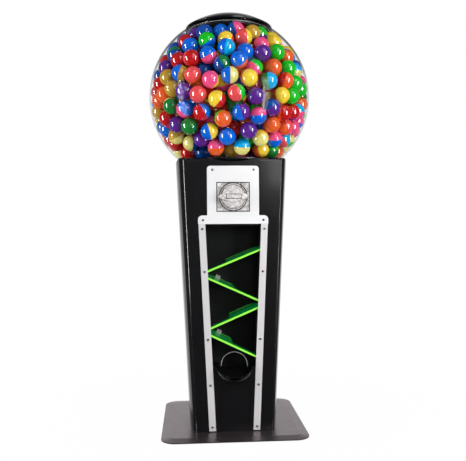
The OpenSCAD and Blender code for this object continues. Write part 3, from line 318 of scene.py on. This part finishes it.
draw.make("OutputMaterial", sockets={"Surface": clear_sheet(draw, (0.97, 0.98, 0.98))})
dress(clear_window, "window")
satin_black, shader, draw = finish(
    "satin_black", (0.004, 0.004, 0.004), 0.36, Specular_IOR_Level=0.3
)
(0.3 + 0.14 * grain(draw, 30)).feed(shader, "Roughness")
bump(draw, shader, grain(draw, 1200, 1), 0.00003)
dress(gloss_black, "outlet_panel")
dress(satin_black, "outlet_chute", "ramp_housing", "drop_chute")
dress(satin_black, "dispenser_well", "globe_ring", "exit_guard")


def blend(draw, share, first, second):
    """Two colours, the second where share is 1."""
    return draw.make("Mix", {"data_type": "RGBA"}, {0: share, 6: first, 7: second}, out=2)


neon_green, shader, draw = finish("neon_green", (0.0, 0.2, 0.03), 0.14, Emission_Strength=0.3)
RAMP_BACK = -0.068
# Painted glow: the ramps' front faces and back edges are painted lighter and given an emission of
# their own, for the light their fluorescent sheet gathers at its edges; the whole ramp also glows
# faintly.
front_edge = draw.make("TexCoord", out="Normal").along("Y").rise(-0.6, -0.9)
back_edge = draw.make("TexCoord", out="Object").along("Y").rise(
    RAMP_BACK - 0.0035, RAMP_BACK - 0.0015
)
painted_edge_glow = draw.sum("MAXIMUM", front_edge, back_edge) * (0.7 + 0.6 * grain(draw, 60, 2))
blend(draw, painted_edge_glow, (0.0, 0.3, 0.05, 1), (0.26, 0.9, 0.07, 1)).feed(shader, "Base Color")
blend(draw, painted_edge_glow, (0.0, 0.12, 0.02, 1), (0.5, 1.0, 0.1, 1)).feed(shader, "Emission Color")
bump(draw, shader, grain(draw, 60, 1), 0.0002)
dress(neon_green, "ramp_1", "ramp_2", "ramp_3", "ramp_4")
clip_grey, shader, draw = finish("clip_grey", (0.4, 0.4, 0.38), 0.6)
bump(draw, shader, grain(draw, 800, 1), 0.00005)
dress(clip_grey, "ramp_clips")


def ring(name, ring_r, tube_r, y, z, material, slot, arc=math.tau):
    """A round rod bent to a ring that faces the front, or to the upper part of one."""
    form = bmesh.new()
    bmesh.ops.create_circle(form, segments=8, radius=tube_r)
    bmesh.ops.translate(form, verts=form.verts, vec=(ring_r, y, 0))
    whole = arc == math.tau
    if not whole:
        start = Matrix.Rotation((arc - math.pi) / 2, 3, "Y")
        bmesh.ops.rotate(form, verts=form.verts, matrix=start, cent=(0, y, 0))
    bmesh.ops.spin(
        form, geom=form.verts[:] + form.edges[:], cent=(0, y, 0), axis=(0, -1, 0),
        angle=arc, steps=64, use_merge=whole,
    )
    bmesh.ops.remove_doubles(form, verts=form.verts, dist=1e-6)
    if not whole:
        bmesh.ops.holes_fill(form, edges=form.edges)
    bmesh.ops.recalc_face_normals(form, faces=form.faces)
    bmesh.ops.translate(form, verts=form.verts, vec=(0, 0, z))
    piece(name, form, material, slot, smooth=60)


OUTLET_Z = 0.225
OUTLET_R = 0.043
OUTLET_FACE = -0.149
# Painted highlight: a thin light grey rod round the upper part of the outlet's rim stands for the
# light the rim catches. The same grey draws the light ring round the neck.
RIM_GLINT_R = 0.0006
RIM_GLINT_ARC = 3.3
painted_glint, shader, draw = finish("painted_glint", (0.55, 0.55, 0.55), 0.25)
(0.2 + 0.2 * grain(draw, 80)).feed(shader, "Roughness")
ring(
    "outlet_rim_glint", ring_r=OUTLET_R, tube_r=RIM_GLINT_R, y=OUTLET_FACE, z=OUTLET_Z,
    material=painted_glint, slot="clear_window", arc=RIM_GLINT_ARC,
)

# ---- Coin mechanism and dispenser
# A plated mechanism with a turning handle, on a die-cast body, which drives the moulded
# wheel at the foot of the globe through a brass pinion. A dark frame round its face, dark rings
# round its boss and a dark plate behind the handle's band are painted shade, for the shade in
# the gaps and groove there. A disc with a plain raised band sits on the handle.
chrome, shader, draw = finish("chrome", (0.72, 0.71, 0.7), 0.12, Metallic=1.0)
(0.08 + 0.14 * grain(draw, 120)).feed(shader, "Roughness")
dress(chrome, "mech_shaft", "lid_lock_barrel", "lid_lock_plug")
dress(chrome, "lid_lock_cam", "door_lock_barrel", "door_lock_plug", "door_lock_cam")
plated_zinc, shader, draw = finish("plated_zinc", (0.6, 0.58, 0.57), 0.6, Metallic=0.1)
(0.5 + 0.2 * grain(draw, 110)).feed(shader, "Roughness")
mottle = grain(draw, 130, 2).rise(0.3, 0.7)
blend(draw, mottle, (0.34, 0.32, 0.32, 1), (0.8, 0.77, 0.76, 1)).feed(shader, "Base Color")
bump(draw, shader, grain(draw, 300, 2), 0.0008)
dress(plated_zinc, "mech_plate", "coin_handle")
UPRIGHT = Matrix.Rotation(math.pi / 2, 3, "X")
MECH_Z = 0.7758
MECH_WIDE, MECH_HIGH = 0.110, 0.0975
MECH_FACE = -0.156
BOSS_FACE = -0.165
DISC_R, DISC_DEEP, DISC_TAPER, DISC_GAP = 0.0375, 0.009, 0.002, 0.0005
# Painted shade: a thin dark frame round the mechanism's face stands for the shade in the gap round
# it.
GAP_SHADE_WIDE, GAP_SHADE_HIGH, GAP_SHADE_DEEP = 0.0044, 0.0004, 0.0003
form = bmesh.new()
bmesh.ops.create_grid(form, x_segments=1, y_segments=1, size=0.5)
bmesh.ops.scale(form, verts=form.verts, vec=(MECH_WIDE, MECH_HIGH, 1))
bmesh.ops.rotate(form, verts=form.verts, matrix=UPRIGHT)
bmesh.ops.translate(form, verts=form.verts, vec=(0, MECH_FACE - GAP_SHADE_HIGH, MECH_Z))
bmesh.ops.inset_region(form, faces=form.faces[:], thickness=GAP_SHADE_WIDE, use_boundary=True)
inner = max(form.faces, key=lambda face: face.calc_area())
bmesh.ops.delete(form, geom=[inner], context="FACES")
raised = bmesh.ops.extrude_face_region(form, geom=form.faces[:])
raised = [part for part in raised["geom"] if isinstance(part, bmesh.types.BMVert)]
bmesh.ops.translate(form, verts=raised, vec=(0, GAP_SHADE_DEEP, 0))
bmesh.ops.recalc_face_normals(form, faces=form.faces)
piece("mech_gap_shade", form, rubber_black, "rubber_black")
# Painted shade: two dark rods stand for the shade in the gap round the boss and in the groove on
# its face.
ring(
    "boss_gap_shade", ring_r=0.0452, tube_r=0.002, y=BOSS_FACE + 0.0015, z=MECH_Z,
    material=satin_black, slot="satin_black",
)
ring(
    "boss_groove_shade", ring_r=0.0398, tube_r=0.0007, y=BOSS_FACE, z=MECH_Z,
    material=satin_black, slot="satin_black",
)
form = bmesh.new()
bmesh.ops.create_cone(
    form, cap_ends=True, segments=64,
    radius1=DISC_R, radius2=DISC_R - DISC_TAPER, depth=DISC_DEEP,
)
bmesh.ops.rotate(form, verts=form.verts, matrix=UPRIGHT)
bmesh.ops.translate(
    form, verts=form.verts, vec=(0, BOSS_FACE - DISC_GAP - DISC_DEEP / 2, MECH_Z)
)
piece("handle_disc", form, plated_zinc, "chrome", "handle", smooth=30)
BAND_FRONT, BAND_DEEP, BAND_ROUND = -0.1902, 0.005, 0.0012
# The dark plate, a little larger than the band and set just behind it, is painted shade for the
# shadow round the band.
for name, wide, high, back, material, slot in (
    ("handle_band", 0.046, 0.013, 0.0, plated_zinc, "chrome"),
    ("handle_band_shade", 0.050, 0.0175, 0.0006, satin_black, "satin_black"),
):
    form = bmesh.new()
    bmesh.ops.create_cube(form, size=1.0)
    bmesh.ops.scale(form, verts=form.verts, vec=(wide, BAND_DEEP, high))
    bmesh.ops.bevel(
        form, geom=form.edges[:], affect="EDGES", offset=BAND_ROUND, segments=2, profile=0.5,
        material=-1,
    )
    bmesh.ops.translate(
        form, verts=form.verts, vec=(0, BAND_FRONT + back + BAND_DEEP / 2, MECH_Z)
    )
    piece(name, form, material, slot, "handle", smooth=30)
cast_zinc, shader, draw = finish("cast_zinc", (0.45, 0.45, 0.46), 0.5, Metallic=0.9)
bump(draw, shader, grain(draw, 700, 3), 0.0001)
dress(cast_zinc, "mech_body")
brass, shader, draw = finish("brass", (0.72, 0.52, 0.2), 0.3, Metallic=1.0)
(0.22 + 0.2 * grain(draw, 150)).feed(shader, "Roughness")
dress(brass, "drive_pinion")
wheel_white, shader, draw = finish("wheel_white", (0.78, 0.78, 0.74), 0.4)
(0.34 + 0.16 * grain(draw, 60)).feed(shader, "Roughness")
dress(wheel_white, "dispensing_wheel")
brush_black, shader, draw = finish("brush_black", (0.02, 0.02, 0.02), 0.85)
bump(draw, shader, grain(draw, 900, 2, (1, 1, 0.05)), 0.0008)
dress(brush_black, "exit_brush")

# ---- Globe
# A blown clear ball, open at its neck and at its mouth over the dispenser. Where its wall
# is seen along its length its edges get a painted dark rim, stronger towards the top.
clear_globe = bpy.data.materials.new("clear_globe")
clear_globe.use_nodes = True
clear_globe.node_tree.nodes.clear()
draw = Shade(clear_globe.node_tree)
clear = clear_sheet(draw, (0.985, 0.99, 0.99))
glance = draw.make("LayerWeight", sockets={"Blend": 0.5}, out="Facing")
# Painted shade: a dark see-through tint at glancing angles, more towards the top.
edge = glance.rise(0.78, 0.92)
upper = draw.make("TexCoord", out="Object").along("Z").rise(1.16, 1.3)
painted_rim_shade = draw.make("BsdfTransparent", sockets={"Color": (0.1, 0.1, 0.11, 1)})
clear = draw.make("MixShader", sockets={0: edge * (0.2 + 0.6 * upper), 1: clear, 2: painted_rim_shade})
draw.make("OutputMaterial", sockets={"Surface": clear})
GLOBE_Z = 1.1278
GLOBE_R = 0.2794
GLOBE_T = 0.003
MOUTH_R = 0.1345
NECK_R = 0.140
low_angle = -math.acos(MOUTH_R / GLOBE_R)
high_angle = math.acos(NECK_R / GLOBE_R)
form = bmesh.new()
start = form.verts.new((GLOBE_R * math.cos(low_angle), 0, GLOBE_R * math.sin(low_angle)))
bmesh.ops.spin(
    form, geom=[start], cent=(0, 0, 0), axis=(0, -1, 0), angle=high_angle - low_angle, steps=72
)
bmesh.ops.spin(
    form, geom=form.verts[:] + form.edges[:], cent=(0, 0, 0), axis=(0, 0, 1),
    angle=math.tau, steps=144, use_merge=True,
)
bmesh.ops.remove_doubles(form, verts=form.verts, dist=1e-6)
bmesh.ops.recalc_face_normals(form, faces=form.faces)
if sum(face.normal.dot(face.calc_center_median()) for face in form.faces) < 0:
    bmesh.ops.reverse_faces(form, faces=form.faces)
bmesh.ops.solidify(form, geom=form.faces[:], thickness=GLOBE_T)
bmesh.ops.translate(form, verts=form.verts, vec=(0, 0, GLOBE_Z))
piece("clear_ball", form, clear_globe, "clear_globe", stands_for=["globe"], smooth=40)

# ---- Capsules
# Some four hundred thin round toy capsules, each of two coloured halves pressed together,
# tipped in through the neck and heaped up to the lid against the clear wall. Those in front
# have set places in the view, and the others push one another into what room is left.
CAPSULE_R = 0.028
FACETS = 1.01  # makes up for the flats of a coarse ball
WALL_GAP = 0.0004
HEAP_R = GLOBE_R - GLOBE_T - CAPSULE_R - WALL_GAP
HEAP_TOP = 0.1967  # above the middle of the ball, below the lid's bridge
HEAP_LOW = -0.2205
RING_HOLD = -0.19  # below this the ring in the mouth narrows the heap
RING_R = 0.2446
# Three of these tints are darker copies of blue, green and yellow: painted shade for capsules set
# deeper in the heap or on its shaded left side. Loose capsules take them at random too.
TINTS = {
    "blue": (0.0, 0.13, 0.68),
    "navy": (0.0, 0.07, 0.36),
    "cyan": (0.0, 0.4, 0.78),
    "red": (0.52, 0.006, 0.008),
    "orange": (0.8, 0.11, 0.02),
    "green": (0.006, 0.5, 0.015),
    "leaf": (0.01, 0.2, 0.03),
    "yellow": (0.9, 0.62, 0.035),
    "pale": (0.78, 0.7, 0.2),
    "tan": (0.5, 0.3, 0.03),
    "pink": (0.85, 0.075, 0.24),
    "salmon": (0.8, 0.075, 0.08),
    "purple": (0.1, 0.018, 0.26),
}
FAMILIES = {
    "blue": ("blue", "navy", "cyan"),
    "red": ("red", "orange"),
    "green": ("green", "leaf"),
    "yellow": ("yellow", "pale", "tan"),
    "pink": ("pink", "salmon"),
    "purple": ("purple",),
}
placed = []


def put(x, y, halves, turn=0, lean=0, behind=0):
    """A capsule at a place in the view. The first half's pole points turn degrees round from
    the right and leans towards the eye; it starts behind millimetres in from the wall."""
    halves = halves.split()
    placed.append((x, y, halves[0], halves[-1], turn, lean, behind))


# From the top left, round the upper rows
put(x=193.5, y=33.4, halves="purple", behind=20)
put(x=205.6, y=30.5, halves="navy", behind=30)
put(x=220.7, y=30.5, halves="blue navy", turn=60, lean=40)
put(x=237.0, y=30.0, halves="navy pink", turn=200, behind=25)
put(x=244.7, y=34.3, halves="salmon yellow", turn=180, lean=26)
put(x=259.4, y=30.8, halves="green purple", turn=90, behind=12)
put(x=271.5, y=37.6, halves="yellow pale", turn=120, lean=30, behind=8)
put(x=243.0, y=22.5, halves="red", behind=35)
put(x=226.0, y=39.8, halves="yellow orange", turn=135, lean=25, behind=20)
put(x=207.1, y=40.6, halves="green blue", turn=122, lean=8)
put(x=188.2, y=43.4, halves="blue", behind=4)
put(x=183.0, y=41.0, halves="navy", behind=40)
put(x=174.2, y=50.6, halves="navy blue", turn=60)
put(x=226.3, y=47.2, halves="blue cyan", turn=170, lean=-10)
put(x=259.7, y=44.5, halves="pink red", turn=40, lean=35, behind=14)
put(x=244.2, y=50.0, halves="blue", behind=14)
put(x=240.0, y=57.4, halves="blue orange", turn=120, lean=38)
put(x=262.9, y=52.5, halves="purple")
put(x=280.0, y=50.5, halves="green")
put(x=240.5, y=41.5, halves="orange", behind=45)
# Second band
put(x=165.3, y=64.2, halves="red", behind=3)
put(x=165.6, y=68.0, halves="leaf", behind=35)
put(x=177.0, y=59.4, halves="red", behind=8)
put(x=190.6, y=57.6, halves="red salmon", turn=0, lean=50)
put(x=208.4, y=55.9, halves="blue pink", turn=117)
put(x=222.1, y=63.4, halves="leaf navy", turn=30, behind=30)
put(x=204.4, y=70.5, halves="navy", behind=35)
put(x=217.5, y=68.5, halves="navy", behind=45)
put(x=272.9, y=66.9, halves="orange", behind=2)
put(x=254.7, y=67.5, halves="green pink", turn=45, lean=-22, behind=16)
put(x=288.0, y=57.6, halves="yellow", behind=22)
put(x=291.3, y=58.8, halves="blue cyan", behind=45)
put(x=290.6, y=68.7, halves="green cyan", turn=50, lean=34)
put(x=293.0, y=68.2, halves="navy", behind=40)
put(x=238.5, y=68.5, halves="orange", behind=45)
# Middle band
put(x=177.9, y=72.4, halves="blue tan", turn=162, lean=-12)
put(x=165.3, y=78.7, halves="tan")
put(x=160.3, y=83.6, halves="red", behind=12)
put(x=191.5, y=74.6, halves="salmon orange", turn=120, lean=36)
put(x=210.6, y=79.5, halves="pink yellow", turn=155, lean=52)
put(x=229.5, y=74.4, halves="blue pale", turn=180, lean=4)
put(x=249.4, y=77.5, halves="yellow orange", turn=20, lean=48)
put(x=268.8, y=80.6, halves="leaf cyan", turn=190, lean=-3)
put(x=286.2, y=81.0, halves="red orange", turn=160, lean=-6)
put(x=300.6, y=89.4, halves="pink green", turn=150, lean=10)
put(x=293.6, y=95.6, halves="green", behind=4)
put(x=281.5, y=96.4, halves="yellow orange", turn=25, lean=36)
put(x=180.3, y=90.6, halves="purple", behind=5)
put(x=172.5, y=88.0, halves="tan", behind=35)
put(x=197.4, y=94.1, halves="salmon")
put(x=217.1, y=99.1, halves="yellow red", turn=149, lean=20)
put(x=236.6, y=92.6, halves="salmon green", turn=200, lean=26)
put(x=255.9, y=95.8, halves="purple")
put(x=160.8, y=97.6, halves="orange", behind=3)
put(x=159.6, y=92.4, halves="red", behind=30)
put(x=164.5, y=92.8, halves="orange", behind=30)
put(x=267.5, y=99.5, halves="tan", behind=40)
# Lower middle band
put(x=171.2, y=104.6, halves="leaf pale", turn=-80, lean=60)
put(x=158.5, y=111.2, halves="tan", behind=2)
put(x=184.7, y=108.8, halves="blue pink", turn=48, lean=30)
put(x=201.8, y=112.0, halves="red blue", turn=211, lean=17)
put(x=196.5, y=121.0, halves="red", behind=28)
put(x=222.9, y=118.5, halves="orange green", turn=-35, lean=52)
put(x=241.0, y=111.7, halves="blue purple", turn=198, lean=2)
put(x=259.9, y=115.1, halves="pink blue", turn=92, lean=-2)
put(x=273.8, y=107.9, halves="navy purple", turn=120, behind=22)
put(x=286.3, y=114.4, halves="orange red", turn=176, lean=-14, behind=4)
put(x=298.2, y=112.0, halves="cyan pink", turn=90)
put(x=301.4, y=105.2, halves="orange", behind=25)
put(x=273.8, y=122.9, halves="orange", behind=3)
put(x=166.8, y=119.6, halves="red", behind=2)
put(x=246.5, y=123.0, halves="orange", behind=35)
put(x=234.0, y=128.0, halves="red", behind=38)
# Lower rows
put(x=164.6, y=129.4, halves="navy", behind=3)
put(x=178.5, y=126.6, halves="purple", behind=12)
put(x=186.0, y=126.8, halves="leaf", behind=10)
put(x=209.4, y=131.4, halves="blue yellow", turn=197, lean=2)
put(x=227.4, y=136.6, halves="blue")
put(x=248.8, y=130.2, halves="purple", behind=10)
put(x=260.3, y=137.9, halves="pale yellow", turn=-60, lean=20)
put(x=275.9, y=138.4, halves="pink blue", turn=90, lean=10, behind=2)
put(x=288.2, y=129.0, halves="orange salmon", turn=200, lean=10)
put(x=295.4, y=128.6, halves="pink", behind=25)
put(x=173.8, y=137.2, halves="tan pale", turn=120, lean=10, behind=2)
put(x=202.6, y=139.6, halves="purple", behind=30)
put(x=191.5, y=143.2, halves="pale navy", turn=180, lean=14, behind=2)
put(x=179.1, y=149.4, halves="pale", behind=2)
put(x=215.3, y=147.3, halves="pink orange", turn=95, lean=6)
put(x=201.8, y=152.0, halves="navy", behind=6)
put(x=242.1, y=146.7, halves="cyan pale", turn=88, lean=6)
put(x=231.5, y=149.8, halves="tan", behind=30)
put(x=260.9, y=150.2, halves="yellow orange", turn=15, lean=18)
put(x=275.0, y=149.6, halves="green leaf", turn=90, behind=3)
put(x=283.6, y=148.0, halves="salmon pale", turn=90, behind=6)
put(x=287.4, y=142.4, halves="pale green", turn=80, lean=20, behind=2)
put(x=186.5, y=154.5, halves="red", behind=12)

chance = random.Random(41)
globe_mid = Vector((0, 0, GLOBE_Z))
spots, sights = [], []
for x, y, _, _, _, _, behind in placed:
    way = sight(x, y)
    level = way.dot(globe_mid - EYE)
    side = (EYE + level * way - globe_mid).length
    depth = level - math.sqrt(max(HEAP_R**2 - side**2, 0)) + behind / 1000
    spots.append(EYE + depth * way - globe_mid)
    sights.append(way)
CAPSULES = 413
AT_WALL = 150  # of those with no place of their own
INNER_SHELLS = (0.196, 0.19, 0.14, 0.09)
IN_FRONT = 0.3  # of the heap's radius towards the eye, where only the set places are
bound = len(placed)
to_eye = (EYE - globe_mid).normalized()
while len(spots) < CAPSULES:
    shell = HEAP_R if len(spots) < bound + AT_WALL else chance.choice(INNER_SHELLS)
    start = Vector([chance.gauss(0, 1) for _ in range(3)]).normalized() * shell
    clear_of_front = shell < HEAP_R or start.dot(to_eye) < IN_FRONT * HEAP_R
    if HEAP_LOW < start.z < HEAP_TOP and clear_of_front:
        spots.append(start)
spots = np.array(spots)
sights = np.array(sights)
eye = np.array(EYE - globe_mid)
outer = np.zeros(len(spots), bool)
outer[bound : bound + AT_WALL] = True
NEAREST = 2 * CAPSULE_R * 1.004
STEPS, HELD_STEPS = 260, 200
PUSH, OUTWARD = 0.7, 1.004
FIRM_HOLD, SLACK_HOLD = 0.35, 0.08
for step in range(STEPS):
    apart = spots[:, None] - spots[None]
    far_off = np.linalg.norm(apart, axis=2) + np.eye(len(spots))
    press = np.clip(NEAREST - far_off, 0, None) / far_off * 0.5
    spots += PUSH * (press[:, :, None] * apart).sum(1)
    spots[outer] *= OUTWARD
    hold = FIRM_HOLD if step < HELD_STEPS else SLACK_HOLD
    along = ((spots[:bound] - eye) * sights).sum(1)
    spots[:bound] += hold * (eye + along[:, None] * sights - spots[:bound])
    spots[:, 2] = np.clip(spots[:, 2], HEAP_LOW, HEAP_TOP)
    limit = np.where(spots[:, 2] < RING_HOLD, RING_R, HEAP_R)
    spots *= np.minimum(1, limit / np.linalg.norm(spots, axis=1))[:, None]

capsule_shine = {}
for name, tint in TINTS.items():
    family = [key for key, members in FAMILIES.items() if name in members][0]
    material, shader, draw = finish("capsule_" + name, tint, 0.08, Specular_IOR_Level=1.0)
    (0.04 + 0.07 * grain(draw, 45)).feed(shader, "Roughness")
    capsule_shine[name] = (material, family)
look_right, look_up = look @ Vector((1, 0, 0)), look @ Vector((0, 1, 0))
heaps = {family: bmesh.new() for family in FAMILIES}
palettes = {family: [] for family in FAMILIES}
RARE = ("navy", "leaf", "tan", "pale")
loose = [name for name in TINTS for _ in range(1 if name in RARE else 2)]
for number, spot in enumerate(spots):
    spot = Vector(spot)
    if number < bound:
        _, _, first, second, turn, lean, _ = placed[number]
        towards = (EYE - globe_mid - spot).normalized()
        turn, lean = math.radians(turn), math.radians(lean)
        across = math.cos(turn) * look_right + math.sin(turn) * look_up
        across = (across - across.dot(towards) * towards).normalized()
        pole = math.cos(lean) * across + math.sin(lean) * towards
    else:
        first, second = chance.choice(loose), chance.choice(loose)
        pole = Vector([chance.gauss(0, 1) for _ in range(3)]).normalized()
    family = capsule_shine[first][1]
    form, palette = heaps[family], palettes[family]
    middle = spot + globe_mid
    where = Matrix.Translation(middle) @ pole.to_track_quat("Z", "Y").to_matrix().to_4x4()
    shell = bmesh.ops.create_uvsphere(
        form, u_segments=12, v_segments=8, radius=CAPSULE_R * FACETS, matrix=where
    )
    for half in (first, second):
        if capsule_shine[half][0] not in palette:
            palette.append(capsule_shine[half][0])
    for face in {face for vert in shell["verts"] for face in vert.link_faces}:
        half = first if (face.calc_center_median() - middle).dot(pole) > 0 else second
        face.material_index = palette.index(capsule_shine[half][0])
for family, form in heaps.items():
    piece(
        "heap_" + family, form, palettes[family], "capsule_" + family,
        stands_for=["capsules_" + family], smooth=60,
    )

# ---- Neck and lid
# A black ring on the globe's opening, with a thin light ring round it that is a painted
# highlight, and a domed lid that locks to a bridge below it.
dress(gloss_black, "neck_ring", "lid")
# Painted highlight: a light grey rod round the neck stands for the glint seen there.
NECK_GLINT_R, NECK_GLINT_Z, NECK_GLINT_T = 0.1446, 1.3585, 0.0007
form = bmesh.new()
bmesh.ops.create_circle(form, segments=8, radius=NECK_GLINT_T)
bmesh.ops.rotate(form, verts=form.verts, matrix=UPRIGHT)
bmesh.ops.translate(form, verts=form.verts, vec=(NECK_GLINT_R, 0, NECK_GLINT_Z))
bmesh.ops.spin(
    form, geom=form.verts[:] + form.edges[:], cent=(0, 0, 0), axis=(0, 0, 1),
    angle=math.tau, steps=96, use_merge=True,
)
bmesh.ops.remove_doubles(form, verts=form.verts, dist=1e-6)
bmesh.ops.recalc_face_normals(form, faces=form.faces)
piece("neck_glint", form, painted_glint, "clear_window", smooth=60)
